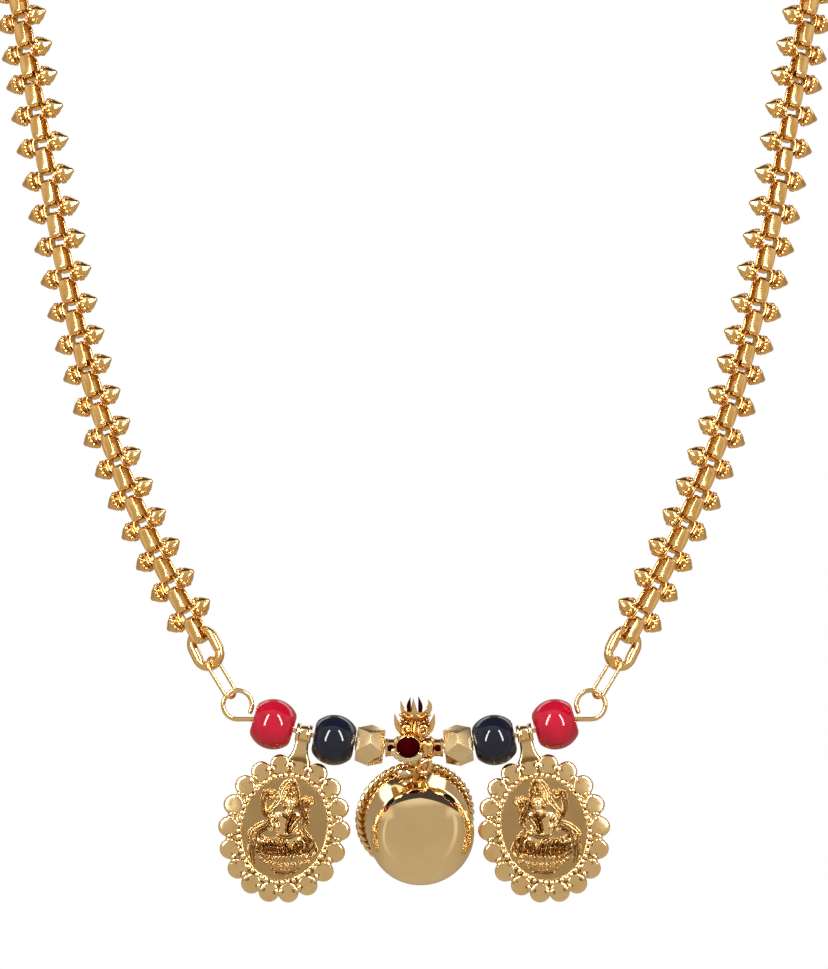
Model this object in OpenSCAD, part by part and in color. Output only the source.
// Mangalsutra: a box chain with turned knobs, a short bar of beads, two oval coin pendants
// and a cup pendant that hang from the bar and swing on it.
// The wearer faces -Y, +X is to the right as seen from the front, +Z is up.
// The origin is under the clasp, where the necklace lies on the nape.

/* [Chain] */
// Length of one repeat: a plate link and a knob link
chain_pitch = 4.9; // [4.87:0.01:4.93]
// Length of a plate link
plate_l = 3.85; // [3.8:0.05:3.9]
// Size across the plates of a link
link_depth = 2.7; // [2.65:0.05:2.8]
// Width of the strip that a link is bent from
strip_w = 1.6; // [1.5:0.05:1.65]
// Thickness of that strip
strip_t = 0.35; // [0.3:0.01:0.36]
// Distance from the chain's middle to the tip of a knob
knob_reach = 4.1; // [3.9:0.05:4.2]
// Radius of a knob's dome
knob_r = 1.5; // [1.4:0.05:1.55]

/* [Bead bar] */
// Thickness of the wire that the beads are threaded on
wire_d = 0.65; // [0.5:0.05:0.7]
// Radius of the curve that the bead wire hangs in
bar_r = 60; // [58:1:62]
// Radius of the eye at each end of the bead wire, to the middle of the wire
eye_r = 2.02; // [1.9:0.02:2.1]
// Diameter of the red and the black beads
bead_d = 7.1; // [6.8:0.1:7.2]
// Length of the red and the black beads between their flat ends
bead_l = 5.8; // [5.4:0.1:5.8]
// Length of a faceted bead
facet_l = 3.9; // [3.6:0.1:3.9]
// Height of a faceted bead
facet_h = 5.9; // [5.5:0.1:6]

/* [Coin] */
// Width of the coin over its lobes
coin_w = 18.4; // [18:0.1:18.4]
// Height of the coin over its lobes
coin_h = 21.1; // [20.5:0.1:21.3]
// Thickness of the coin's plate
coin_t = 1.1; // [0.9:0.1:1.3]
// Number of lobes around the edge
lobe_n = 18; // [18:1:20]
// Radius of one lobe
lobe_r = 1.45; // [1.4:0.05:1.5]

/* [Centre pendant] */
// Length of the pendant's tube
tube_l = 8.1; // [7.8:0.1:8.1]
// Radius of the cup's rope rim, to its outside
cup_rim_r = 8.5; // [8.3:0.1:8.5]
// Radius of the dome at its widest
cup_dome_r = 7.4; // [7.2:0.1:7.6]
// Depth of the cup from its rim to the top of the dome
cup_depth = 12.2; // [11.9:0.1:12.6]
// Thickness of the cup's wall
cup_wall = 0.5; // [0.4:0.05:0.6]
// Diameter of the cabochon
stone_d = 3.2; // [3:0.1:3.3]

/* [Clasp] */
// Length of the clasp's barrel
clasp_l = 9; // [8.8:0.1:9]
// Diameter of the clasp's barrel
clasp_d = 4; // [3.6:0.1:4.2]

/* [Hidden] */
$fn = 48;

gold = "#c8965f";
pale_gold = "#dcbc8c";
dark_red = "#5a1420";

// Route of the right strand from the oval ring to the nape, measured from the bar's middle.
// Columns: x, y, z, and how far the plates' outer side is turned from the front, in degrees
X = 0;
Y = 1;
Z = 2;
FACE = 3;
route = [
    [30.5, 1.3, 16.45, 30],
    [34.6, 3.6, 24, 31],
    [41.5, 9, 39, 28],
    [47.1, 15.5, 56, 25],
    [51.3, 22, 76, 22],
    [54.7, 28, 95, 22],
    [58.8, 38.5, 116.5, 40],
    [64, 58.5, 134.5, 69],
    [65, 88, 155, 100],
    [51.5, 114.5, 175, 132],
    [26.5, 126.4, 189, 161],
    [10.5, 128.8, 192.8, 174],
    [0, 129, 193, 180]
];
route_end = len(route) - 1;
steps = 8;
nape = [0, route[route_end][Y], route[route_end][Z] - clasp_d / 2];

// The strand is one smooth curve through the route's points
route_before = 2 * route[0] - route[1];
route_after = [
    -route[route_end - 1][X],
    route[route_end - 1][Y],
    route[route_end - 1][Z],
    360 - route[route_end - 1][FACE]
];
function knot(i) = i < 0 ? route_before : i > route_end ? route_after : route[i];
function curve(a, b, c, d, t) =
    0.5 * (2 * b + (c - a) * t + (2 * a - 5 * b + 4 * c - d) * t ^ 2 + (3 * b - a - 3 * c + d) * t ^ 3);
samples = [
    for (i = [0:route_end * steps])
        let (k = min(floor(i / steps), route_end - 1))
        curve(knot(k - 1), knot(k), knot(k + 1), knot(k + 2), i / steps - k)
];
function point(sample) = [sample[X], sample[Y], sample[Z]];
function run(i) = i == 0 ? 0 : run(i - 1) + norm(point(samples[i]) - point(samples[i - 1]));
runs = [for (i = [0:len(samples) - 1]) run(i)];
tables = [for (column = [X, Y, Z, FACE]) [for (i = [0:len(samples) - 1]) [runs[i], samples[i][column]]]];
function along(s, column) = lookup(s, tables[column]);
function place(s) = [along(s, X), along(s, Y), along(s, Z)];
function unit(v) = v / norm(v);

// A frame on the strand: its Z runs along the chain and its Y points into the neck
function strand_frame(s) =
    let (t = unit(place(s + 0.6) - place(s - 0.6)))
    let (face = along(s, FACE))
    let (inward = [-sin(face), cos(face), 0])
    let (n = unit(inward - (inward * t) * t))
    let (side = cross(n, t))
    let (p = place(s))
    [[side[X], n[X], t[X], p[X]], [side[Y], n[Y], t[Y], p[Y]], [side[Z], n[Z], t[Z], p[Z]], [0, 0, 0, 1]];

// Chain: six stretches of nine repeats a side, with play where two stretches join
stretches = 6;
repeats = 9;
stretch_play = 0.36;
stretch_l = repeats * chain_pitch - stretch_play;
link_overlap = 0.1;
knob_link_l = chain_pitch + 4 * strip_t - 2 * link_overlap - plate_l;
link_corner_r = 0.7;
knob_flange_t = 0.25;
knob_flange_r = 1.3;
knob_neck_r = 1.15;
knob_neck_l = 0.5;
knob_collar_l = 0.45;
knob_dome_h = 1.05;
knob_tip_r = 0.45;
knob_root = link_depth / 2 - 0.05;

// Rings between the chain and the bead bar
oval_wire_r = 0.68;
oval_r = 2;
oval_straight = 1.24;
oval_tilt = 3;
oval_lift = -0.35;
oval_half = oval_r + oval_straight / 2;
oval_foot_local = [2 * oval_half * sin(oval_tilt), 0, oval_lift - 2 * oval_half * cos(oval_tilt), 1];
oval_foot = point(strand_frame(0) * oval_foot_local);
thin_wire_r = 0.25;
thin_r = 1.2;
thin_turn = -50;
contact_gap = 0.15;
eye_at = [24.75, 0, 6];
thin_way = unit(oval_foot - eye_at);
thin_low = eye_at + (eye_r - wire_d / 2 - thin_wire_r - contact_gap) * thin_way;
thin_high = oval_foot + (oval_wire_r + thin_wire_r + contact_gap) * thin_way;
thin_straight = round(100 * (norm(thin_high - thin_low) - 2 * thin_r)) / 100;

// Places on the bead bar, as lengths of wire from its middle
facet_s = 6.2;
black_s = 11.3;
coin_s = 15.65;
coin_angle = coin_s * 180 / (PI * bar_r);
coin_at = [bar_r * sin(coin_angle), 0, bar_r * (1 - cos(coin_angle))];
arc_s = 17.6;
red_s = 17;
red_room = 0.2;
bore_play = 0.4;
// Past its arc the wire runs straight through the red bead, then level to the foot of the eye.
// The short sleeves where it bends lie inside the bead
foot_z = 3.98;
bend_in = 5.6;
sleeve_d = 0.86;
sleeve_l = 0.6;
arc_angle = arc_s * 180 / (PI * bar_r);
arc_end = [bar_r * sin(arc_angle), 0, bar_r * (1 - cos(arc_angle))];
red_angle = red_s * 180 / (PI * bar_r);
red_start = [bar_r * sin(red_angle), 0, bar_r * (1 - cos(red_angle))];
red_tilt = asin((foot_z - red_start[Z]) / bend_in);
red_way = [cos(red_tilt), 0, sin(red_tilt)];
red_at = red_start + (red_room + bead_l / 2) * red_way;
foot_start = [round(1000 * (red_start + bend_in * red_way)[X]) / 1000, 0, foot_z];
eye_turn = 306;
bore_d = wire_d + bore_play;
pivot_bore_d = 1.15;
facet_turn = -13;
facet_w = 0.86 * facet_h;
// A bead's corners are cut where facet_lean * x + y + z reaches facet_cut, all in half sizes
facet_lean = 0.58;
facet_cut = 1.6;

// Coin, in its own frame: the tube's middle is the origin
bail_l = 2.2;
bail_r = 1.3;
bail_waist_r = 1.1;
bail_rim = 0.6;
coin_tilt = 10.5;
coin_drop = 13.65;
coin_side = 0.25;
coin_lean = 3.2;
coin_y = 0.1;
neck_w = 2.2;
oval_points = 60;
lobe_rise = 0.4;
lobe_ledge = 0.1;
ring_a = 6.3;
ring_b = 7.55;
ring_half = 0.5;
ring_proud = 0.45;
relief_proud = 0.6;
// Balls of the seated figure. Columns: x, depth of the ball's middle under the face, z, radius
relief_balls = [
    [-2.3, 1, -2.4, 1.6],
    [2.3, 1, -2.4, 1.6],
    [0, 1.8, 0.2, 2.4],
    [0.1, 0.5, 3.2, 1.1]
];
// Lotus seat and crown. Columns: x, z, radius at the face, radius at the top
relief_cones = [
    [0, -4.6, 2.2, 1.6],
    [0.2, 5.3, 0.8, 0.3]
];
neck_sink = 1;
neck_over = 0.4;

// Centre pendant, in its own frame: the tube's middle is the origin and the cup faces -Y
pend_pitch = 21.3;
tube_r = 1.6;
tube_end_r = 1.3;
tube_mid_l = 5;
cup_drop = 11;
cup_side = 0.05;
cup_back = 1.2;
cup_yaw = 9;
rope_r = 0.55;
flange_r = 8.2;
shoulder_y = 6.4;
shoulder_r = 4.8;
arc_points = 8;
// The cap's arc meets the shoulder's arc smoothly and reaches the cup's full depth
shoulder_x = cup_dome_r - shoulder_r;
cap_rise = cup_depth - shoulder_y;
cap_r = (shoulder_x ^ 2 + cap_rise ^ 2 - shoulder_r ^ 2) / (2 * (cap_rise - shoulder_r));
cap_y = cup_depth - cap_r;
cap_angle = atan2(shoulder_x, shoulder_y - cap_y);
crown_base = [0.1, 1.4];
crown_t = 0.6;
crown_y = -0.7;
// Columns: tip x, tip z, half width at the base
crown_spikes = [
    [-0.6, 8, 0.9],
    [0.65, 8.2, 0.9],
    [-1.95, 7.5, 1],
    [2.15, 7.7, 1],
    [-2.75, 5.4, 1.1],
    [2.85, 5.4, 1.1]
];
stone_at = [-0.84, -2.1, 1.3];
stone_rise = 1.2;
collet_wall = 0.3;
collet_h = 1.1;
collet_back = 1.5;
bow_t = 0.9;
bow_y = -1.3;
petal_at = [-1.4, -3.3];
petal_r = 1.2;
loop_at = [1.5, -2.7];
loop_r = 1.25;
loop_hole_r = 0.5;
stem_at = [0, 1.2, -3.3];
stem_r = 1.1;
stem_l = 3;
post = [2, 2.6, 2.6];
post_foot = -3.2;

// Nape fittings
end_ring_r = 1.7;
end_wire_r = 0.3;
clasp_eye_r = 1.15;
clasp_eye_x = clasp_l / 2 + clasp_eye_r - 0.15;
last_link_s = (stretches - 1) * stretch_l + (repeats - 0.5) * chain_pitch;
end_ring_seat = -0.05;
end_ring_s = last_link_s + end_ring_seat + end_ring_r;

module at_front() {
    translate(-nape) children();
}

module on_strand(s) {
    multmatrix(strand_frame(s)) children();
}

// Children with their Z along the wire, at a length s of wire from the middle
module on_bar(s) {
    angle = s * 180 / (PI * bar_r);
    translate([0, 0, bar_r]) rotate([0, -angle, 0]) translate([0, 0, -bar_r]) children();
}

module along_x() {
    rotate([0, 90, 0]) children();
}

module on_side(right) {
    if (right) {
        children();
    } else {
        mirror([1, 0, 0]) children();
    }
}

// Outline of a cap of the given base radius and height, to be turned about its axis
module cap_outline(r, rise) {
    ball_r = (r * r + rise * rise) / (2 * rise);
    intersection() {
        translate([0, rise - ball_r]) circle(ball_r);
        square([r, rise]);
    }
}

module rounded_rectangle(w, h, r) {
    square([w, h - 2 * r], center = true);
    square([w - 2 * r, h], center = true);
    for (sx = [-1, 1])
        for (sy = [-1, 1])
            translate([sx * (w / 2 - r), sy * (h / 2 - r)]) circle(r);
}

// One link of the chain: a strip bent round into a box ring of the given length, in the YZ plane
module box_link(length) {
    rotate([90, 0, 90])
        linear_extrude(height = strip_w, center = true)
            difference() {
                rounded_rectangle(link_depth, length, link_corner_r);
                rounded_rectangle(link_depth - 2 * strip_t, length - 2 * strip_t, link_corner_r - strip_t);
            }
}

// A knob that stands on the side of a link, along +X
module knob() {
    collar_at = knob_flange_t + knob_neck_l;
    dome_at = collar_at + knob_collar_l;
    tip_at = knob_reach - knob_root - knob_tip_r;
    translate([knob_root, 0, 0])
        along_x()
            rotate_extrude() {
                square([knob_flange_r, knob_flange_t]);
                square([knob_neck_r, dome_at]);
                translate([0, collar_at]) square([knob_r, knob_collar_l]);
                translate([0, dome_at]) cap_outline(knob_r, knob_dome_h);
                intersection() {
                    translate([0, tip_at]) circle(knob_tip_r);
                    translate([0, dome_at]) square([knob_r, knob_reach]);
                }
            }
}

module knob_link() {
    rotate([0, 0, 90]) box_link(knob_link_l);
    knob();
    mirror([1, 0, 0]) knob();
}

module chain_stretch(number, right) {
    start = (number - 1) * stretch_l;
    color(gold)
        at_front()
            on_side(right)
                for (k = [0:repeats - 1]) {
                    on_strand(start + k * chain_pitch) box_link(plate_l);
                    on_strand(start + (k + 0.5) * chain_pitch) knob_link();
                }
}

// A wire bent into a closed link with round ends, in the XZ plane
module wire_ring(r, straight, wire_r) {
    for (end = [-1, 1]) {
        translate([0, 0, end * straight / 2])
            rotate([90, 0, 0])
                rotate_extrude(angle = 180, start = end > 0 ? 0 : 180)
                    translate([r, 0]) circle(wire_r);
        translate([end * r, 0, -straight / 2]) cylinder(r = wire_r, h = straight);
    }
}

module oval_ring(right) {
    color(gold)
        at_front()
            on_side(right)
                on_strand(0)
                    translate([0, 0, oval_lift])
                    rotate([0, -oval_tilt, 0])
                        translate([0, 0, -oval_half]) wire_ring(oval_r, oval_straight, oval_wire_r);
}

module wire_link(right) {
    color(gold)
        at_front()
            on_side(right)
                translate((thin_low + thin_high) / 2)
                    rotate([0, acos(thin_way[Z]), atan2(thin_way[Y], thin_way[X])])
                        rotate([0, 0, thin_turn]) wire_ring(thin_r, thin_straight, thin_wire_r);
}

// A straight piece of wire between two points of the XZ plane
module wire_between(a, b) {
    d = b - a;
    translate(a) rotate([0, atan2(d[X], d[Z]), 0]) cylinder(d = wire_d, h = norm(d));
}

// A short sleeve round the wire where it bends
module sleeve(at, tilt) {
    translate(at) rotate([0, 90 - tilt, 0]) cylinder(d = sleeve_d, h = sleeve_l, center = true);
}

module bead_wire() {
    color(gold)
        at_front() {
            translate([0, 0, bar_r])
                rotate([90, 0, 0])
                    rotate_extrude(angle = 2 * arc_angle, start = 270 - arc_angle, $fn = 360)
                        translate([bar_r, 0]) circle(d = wire_d);
            for (right = [true, false])
                on_side(right) {
                    sleeve(arc_end, red_tilt);
                    wire_between(arc_end, foot_start);
                    sleeve(foot_start, red_tilt / 2);
                    translate(foot_start) along_x() cylinder(d = wire_d, h = eye_at[X] - foot_start[X]);
                    translate(eye_at)
                        rotate([90, 0, 0])
                            rotate_extrude(angle = eye_turn, start = 270)
                                translate([eye_r, 0]) circle(d = wire_d);
                }
        }
}

// A ball cut flat at both ends and drilled
module glass_bead() {
    along_x()
        rotate_extrude()
            intersection() {
                circle(d = bead_d);
                translate([bore_d / 2, -bead_l / 2]) square([bead_d, bead_l]);
            }
}

module black_bead(right) {
    color("#20242e") at_front() on_side(right) on_bar(black_s) glass_bead();
}

module red_bead(right) {
    color("#b8242f") at_front() on_side(right) translate(red_at) rotate([0, -red_tilt, 0]) glass_bead();
}

// A box whose eight corners are cut back to about the middles of its edges
module faceted_body() {
    difference() {
        cube([facet_l, facet_w, facet_w], center = true);
        for (sx = [-1, 1])
            for (sy = [-1, 1])
                for (sz = [-1, 1])
                    facet_corner([sx, sy, sz]);
        along_x() cylinder(d = bore_d, h = facet_l + 1, center = true);
    }
}

// The block that cuts the corner on the given sides of the middle
module facet_corner(sides) {
    lean = 2 * [facet_lean * sides[X] / facet_l, sides[Y] / facet_w, sides[Z] / facet_w];
    direction = unit(lean);
    rotate([0, acos(direction[Z]), atan2(direction[Y], direction[X])])
        translate([0, 0, facet_cut / norm(lean) + facet_h / 2])
            cube([2 * facet_h, 2 * facet_h, facet_h], center = true);
}

module faceted_bead(right) {
    color(pale_gold)
        at_front() on_side(right) on_bar(facet_s) rotate([facet_turn, 0, 0]) faceted_body();
}

function oval(a, b) = [
    for (i = [0:oval_points - 1])
        let (angle = i * 360 / oval_points)
        [a * cos(angle), b * sin(angle)]
];

// A plate of the given outline in the XZ plane, from y = back towards -Y
module plate(back, thickness) {
    translate([0, back, 0]) rotate([90, 0, 0]) linear_extrude(height = thickness) children();
}

module coin_lobes() {
    for (i = [0:lobe_n - 1]) {
        angle = (i + 0.5) * 360 / lobe_n;
        translate([(coin_w / 2 - lobe_r) * cos(angle), coin_t / 2, (coin_h / 2 - lobe_r) * sin(angle)])
            rotate([90, 0, 0])
                rotate_extrude() {
                    square([lobe_r, coin_t]);
                    translate([0, coin_t]) cap_outline(lobe_r - lobe_ledge, lobe_rise);
                }
    }
}

// The seated figure: lotus seat, crossed legs, body, head and crown
module coin_relief() {
    front = -coin_t / 2;
    for (ball = relief_balls)
        translate([ball[0], front + ball[1], ball[2]]) sphere(r = ball[3]);
    for (cone = relief_cones)
        translate([cone[0], front, cone[1]])
            rotate([90, 0, 0]) cylinder(r1 = cone[2], r2 = cone[3], h = relief_proud);
}

module coin_shape() {
    difference() {
        union() {
            along_x() cylinder(r = bail_waist_r, h = bail_l, center = true);
            for (side = [-1, 1])
                translate([side * (bail_l - bail_rim) / 2, 0, 0])
                    along_x() cylinder(r = bail_r, h = bail_rim, center = true);
            translate([coin_side, coin_y, -coin_drop])
                rotate([0, -coin_lean, 0]) {
                    plate(coin_t / 2, coin_t) polygon(oval(coin_w / 2 - lobe_r, coin_h / 2 - lobe_r));
                    coin_lobes();
                    plate(0, coin_t / 2 + ring_proud)
                        difference() {
                            polygon(oval(ring_a + ring_half, ring_b + ring_half));
                            polygon(oval(ring_a - ring_half, ring_b - ring_half));
                        }
                    intersection() {
                        coin_relief();
                        plate(0, coin_t / 2 + 2 * relief_proud) polygon(oval(ring_a, ring_b));
                    }
                }
            translate([-neck_w / 2, coin_y - coin_t / 2, coin_h / 2 - coin_drop - neck_sink])
                cube([neck_w, coin_t, coin_drop - coin_h / 2 + neck_sink - neck_over]);
        }
        along_x() cylinder(d = pivot_bore_d, h = bail_l + 2, center = true);
    }
}

module coin(right) {
    color(pale_gold) at_front() on_side(right) translate(coin_at) rotate([0, -coin_tilt, 0]) coin_shape();
}

// Section of the cup's wall from the flange to the middle of the dome, inset by a wall or nothing
function dome_line(inset) = concat(
    [[cup_dome_r - inset, 0]],
    [
        for (i = [0:arc_points])
            let (a = i * (90 - cap_angle) / arc_points)
            [shoulder_x + (shoulder_r - inset) * cos(a), shoulder_y + (shoulder_r - inset) * sin(a)]
    ],
    [
        for (i = [1:arc_points])
            let (a = 90 - cap_angle + i * cap_angle / arc_points)
            [(cap_r - inset) * cos(a), cap_y + (cap_r - inset) * sin(a)]
    ]
);

module cup() {
    rotate([90, 0, 0]) {
        rotate_extrude() {
            difference() {
                polygon(concat(dome_line(0), [[0, 0]]));
                polygon(concat(dome_line(cup_wall), [[0, 0]]));
            }
            translate([cup_dome_r - cup_wall, 0]) square([flange_r - cup_dome_r + cup_wall, cup_wall]);
        }
        rotate_extrude() translate([cup_rim_r - rope_r, rope_r / 2]) circle(rope_r);
    }
}

module crown() {
    plate(crown_y + crown_t / 2, crown_t)
        for (spike = crown_spikes)
            polygon([
                [crown_base[0] - spike[2], crown_base[1]],
                [crown_base[0] + spike[2], crown_base[1]],
                [spike[0], spike[1]]
            ]);
}

// Collet: a little cup that holds the stone, open to the front
module collet() {
    outer_r = stone_d / 2 + collet_wall;
    difference() {
        translate(stone_at + [0, collet_back, 0])
            rotate([90, 0, 0]) cylinder(r = outer_r, h = collet_h + collet_back);
        translate(stone_at) rotate([90, 0, 0]) cylinder(d = stone_d + 0.1, h = collet_h + 1);
    }
}

// Bow of leaves between the tube and the cup: a petal on the left, an open loop on the right
module bow() {
    plate(bow_y + bow_t / 2, bow_t) {
        translate(petal_at) circle(petal_r);
        difference() {
            translate(loop_at) circle(loop_r);
            translate(loop_at) circle(loop_hole_r);
        }
    }
    translate(stem_at) rotate([90, 0, 0]) cylinder(r = stem_r, h = stem_l);
    translate([-post[X] / 2, -post[Y] / 2, post_foot]) cube(post);
}

module pendant_tube() {
    along_x() {
        cylinder(r = tube_end_r, h = tube_l, center = true);
        cylinder(r = tube_r, h = tube_mid_l, center = true);
    }
}

module pendant_frame() {
    at_front() rotate([pend_pitch, 0, 0]) children();
}

module centre_pendant() {
    color(pale_gold)
        pendant_frame()
            difference() {
                union() {
                    pendant_tube();
                    crown();
                    collet();
                    bow();
                    translate([cup_side, cup_back, -cup_drop]) rotate([0, 0, cup_yaw]) cup();
                }
                along_x() cylinder(d = pivot_bore_d, h = tube_l + 1, center = true);
            }
}

module stone() {
    color(dark_red)
        pendant_frame()
            translate(stone_at + [0, -0.05, 0])
                rotate([90, 0, 0])
                    rotate_extrude() {
                        square([stone_d / 2, 0.5]);
                        translate([0, 0.5]) cap_outline(stone_d / 2, stone_rise);
                    }
}

module clasp() {
    color(gold)
        at_front()
            translate(point(route[route_end])) clasp_shape();
}

module clasp_shape() {
    along_x() cylinder(d = clasp_d, h = clasp_l - 1, center = true);
    for (right = [true, false])
        on_side(right) {
            translate([clasp_l / 2 - 0.5, 0, 0]) along_x() cylinder(d1 = clasp_d, d2 = clasp_d - 1, h = 0.5);
            translate([clasp_eye_x, 0, 0])
                rotate([90, 0, 0]) rotate_extrude() translate([clasp_eye_r, 0]) circle(end_wire_r);
        }
}

module end_ring(right) {
    color(gold)
        at_front()
            on_side(right)
                on_strand(end_ring_s)
                    rotate([0, 0, 90]) wire_ring(end_ring_r, 0.01, end_wire_r);
}

for (number = [1:stretches]) {
    chain_stretch(number, false);
    chain_stretch(number, true);
}
oval_ring(false);  // oval_ring_left
oval_ring(true);  // oval_ring_right
wire_link(false);  // wire_link_left
wire_link(true);  // wire_link_right
bead_wire();
red_bead(false);  // red_bead_left
red_bead(true);  // red_bead_right
black_bead(false);  // black_bead_left
black_bead(true);  // black_bead_right
faceted_bead(false);  // faceted_bead_left
faceted_bead(true);  // faceted_bead_right
coin(false);  // coin_left
coin(true);  // coin_right
centre_pendant();
stone();
clasp();
end_ring(false);  // end_ring_left
end_ring(true);  // end_ring_right
